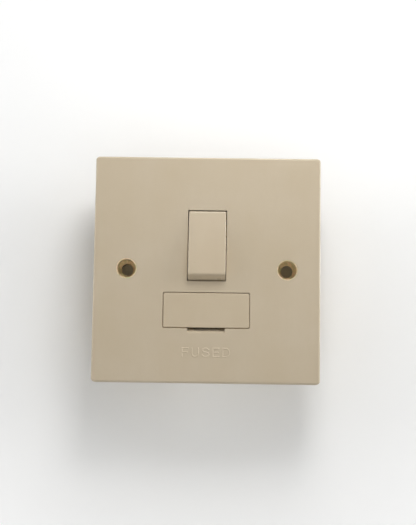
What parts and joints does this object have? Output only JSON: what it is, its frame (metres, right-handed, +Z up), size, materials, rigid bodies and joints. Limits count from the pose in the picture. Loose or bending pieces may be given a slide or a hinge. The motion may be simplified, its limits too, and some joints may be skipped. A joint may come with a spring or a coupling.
{
  "type": "fused spur unit",
  "caption": "Square flush wall plate with a rocker switch, a pull-out fuse carrier, cupped fixing holes and a rear housing with its terminals.",
  "frame": {"origin": "midway between the fixing holes, on the wall plane where the plate's rear rim lies", "axes": "+X right as seen from the front, +Z up, the front faces -Y"},
  "size_m": [0.085, 0.0286, 0.085],
  "materials": {
    "front_moulding": "satin",
    "rear_moulding": "matte",
    "brass": "satin",
    "silver": "satin",
    "plated_copper": "satin",
    "spring_steel": "satin",
    "terminal_screw": "satin",
    "passivated_steel": "satin",
    "plated_steel": "satin",
    "fuse_ceramic": "matte",
    "fuse_cap": "polished"
  },
  "bodies": {
    "base": {"front_plate": "front_moulding", "rear_housing": "rear_moulding", "line_fixed_contact": "silver", "neutral_fixed_contact": "silver", "supply_line_strip": "brass", "supply_neutral_strip": "brass", "line_pivot_strip": "brass", "neutral_pivot_strip": "brass", "load_line_strip": "brass", "supply_fuse_clip": "plated_copper", "load_fuse_clip": "plated_copper", "supply_line_terminal": "brass", "supply_neutral_terminal": "brass", "load_line_terminal": "brass", "load_neutral_terminal": "brass", "left_earth_terminal": "brass", "right_earth_terminal": "brass", "earth_strap": "passivated_steel", "left_screw_cup": "passivated_steel", "right_screw_cup": "passivated_steel", "housing_screws": "plated_steel"},
    "rocker": {"rocker": "front_moulding", "line_plunger_spring": "spring_steel", "neutral_plunger_spring": "spring_steel"},
    "line_plunger": {"line_plunger": "rear_moulding"},
    "neutral_plunger": {"neutral_plunger": "rear_moulding"},
    "line_contact": {"line_contact_bar": "brass", "line_moving_contact": "silver"},
    "neutral_contact": {"neutral_contact_bar": "brass", "neutral_moving_contact": "silver"},
    "fuse_carrier": {"fuse_carrier": "front_moulding", "fuse_tube": "fuse_ceramic", "left_fuse_cap": "fuse_cap", "right_fuse_cap": "fuse_cap"},
    "supply_line_screw": {"supply_line_screw": "terminal_screw"},
    "supply_neutral_screw": {"supply_neutral_screw": "terminal_screw"},
    "load_line_screw": {"load_line_screw": "terminal_screw"},
    "load_neutral_screw": {"load_neutral_screw": "terminal_screw"},
    "left_earth_screw": {"left_earth_screw": "terminal_screw"},
    "right_earth_screw": {"right_earth_screw": "terminal_screw"}
  },
  "joints": [
    {"name": "rocker_tilt", "type": "hinge", "parent": "base", "child": "rocker", "pos_m": [0, -0.004, 0.0089], "axis": [1, 0, 0], "range_deg": [0, 15.2]},
    {"name": "line_plunger_slide", "type": "slide", "parent": "rocker", "child": "line_plunger", "axis": [0, 0.9912, -0.1323], "range_m": [-0.0008, 0], "stiffness_N_per_m": 400, "springref_m": 0.001, "deforming": ["line_plunger_spring"]},
    {"name": "line_contact_tilt", "type": "hinge", "parent": "base", "child": "line_contact", "pos_m": [-0.0036, 0.0065, 0.0089], "axis": [1, 0, 0], "range_deg": [-18, 0]},
    {"name": "neutral_plunger_slide", "type": "slide", "parent": "rocker", "child": "neutral_plunger", "axis": [0, 0.9912, -0.1323], "range_m": [-0.0008, 0], "stiffness_N_per_m": 400, "springref_m": 0.001, "deforming": ["neutral_plunger_spring"]},
    {"name": "neutral_contact_tilt", "type": "hinge", "parent": "base", "child": "neutral_contact", "pos_m": [0.0036, 0.0065, 0.0089], "axis": [1, 0, 0], "range_deg": [-18, 0]},
    {"name": "fuse_carrier_slide", "type": "slide", "parent": "base", "child": "fuse_carrier", "axis": [0, -1, 0], "range_m": [0, 0.014]},
    {"name": "supply_line_screw_turn_in", "type": "slide", "parent": "base", "child": "supply_line_screw", "axis": [0, -1, 0], "range_m": [0, 0.0032]},
    {"name": "supply_neutral_screw_turn_in", "type": "slide", "parent": "base", "child": "supply_neutral_screw", "axis": [0, -1, 0], "range_m": [0, 0.0032]},
    {"name": "load_line_screw_turn_in", "type": "slide", "parent": "base", "child": "load_line_screw", "axis": [0, -1, 0], "range_m": [0, 0.0032]},
    {"name": "load_neutral_screw_turn_in", "type": "slide", "parent": "base", "child": "load_neutral_screw", "axis": [0, -1, 0], "range_m": [0, 0.0032]},
    {"name": "left_earth_screw_turn_in", "type": "slide", "parent": "base", "child": "left_earth_screw", "axis": [0, -1, 0], "range_m": [0, 0.0032]},
    {"name": "right_earth_screw_turn_in", "type": "slide", "parent": "base", "child": "right_earth_screw", "axis": [0, -1, 0], "range_m": [0, 0.0032]}
  ],
  "couplings": [
    {"joint": "line_contact_tilt", "follows": "rocker_tilt", "ratio": -1.1842},
    {"joint": "neutral_contact_tilt", "follows": "rocker_tilt", "ratio": -1.1842}
  ]
}
